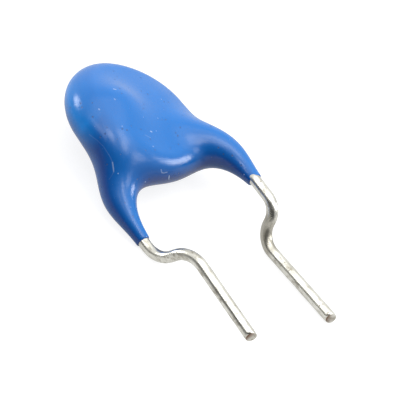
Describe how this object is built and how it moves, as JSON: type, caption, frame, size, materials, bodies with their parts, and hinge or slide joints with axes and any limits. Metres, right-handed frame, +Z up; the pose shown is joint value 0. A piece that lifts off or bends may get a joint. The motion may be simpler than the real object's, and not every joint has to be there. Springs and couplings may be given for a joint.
{
  "type": "ceramic disc capacitor",
  "caption": "Ceramic disc capacitor with a smooth blue dipped coat that runs down onto two kinked, tinned wire leads.",
  "frame": {"origin": "on the surface that the part lies on, under the middle of its length and width", "axes": "+Z up from the surface; +Y along the leads' direction, from their tips towards the disc; +X across the leads, towards the front lead"},
  "size_m": [0.0066, 0.0146, 0.0034],
  "materials": {
    "ceramic": "matt fired ceramic",
    "fired_silver": "fired silver",
    "solder": "bright solder",
    "tinned_wire": "bright tinned",
    "blue_epoxy": "semi-gloss dipped epoxy"
  },
  "bodies": {
    "root": {"ceramic_disc": "ceramic", "front_electrode": "fired_silver", "back_electrode": "fired_silver", "front_solder": "solder", "back_solder": "solder", "front_lead": "tinned_wire", "back_lead": "tinned_wire", "coating": "blue_epoxy"}
  },
  "joints": []
}
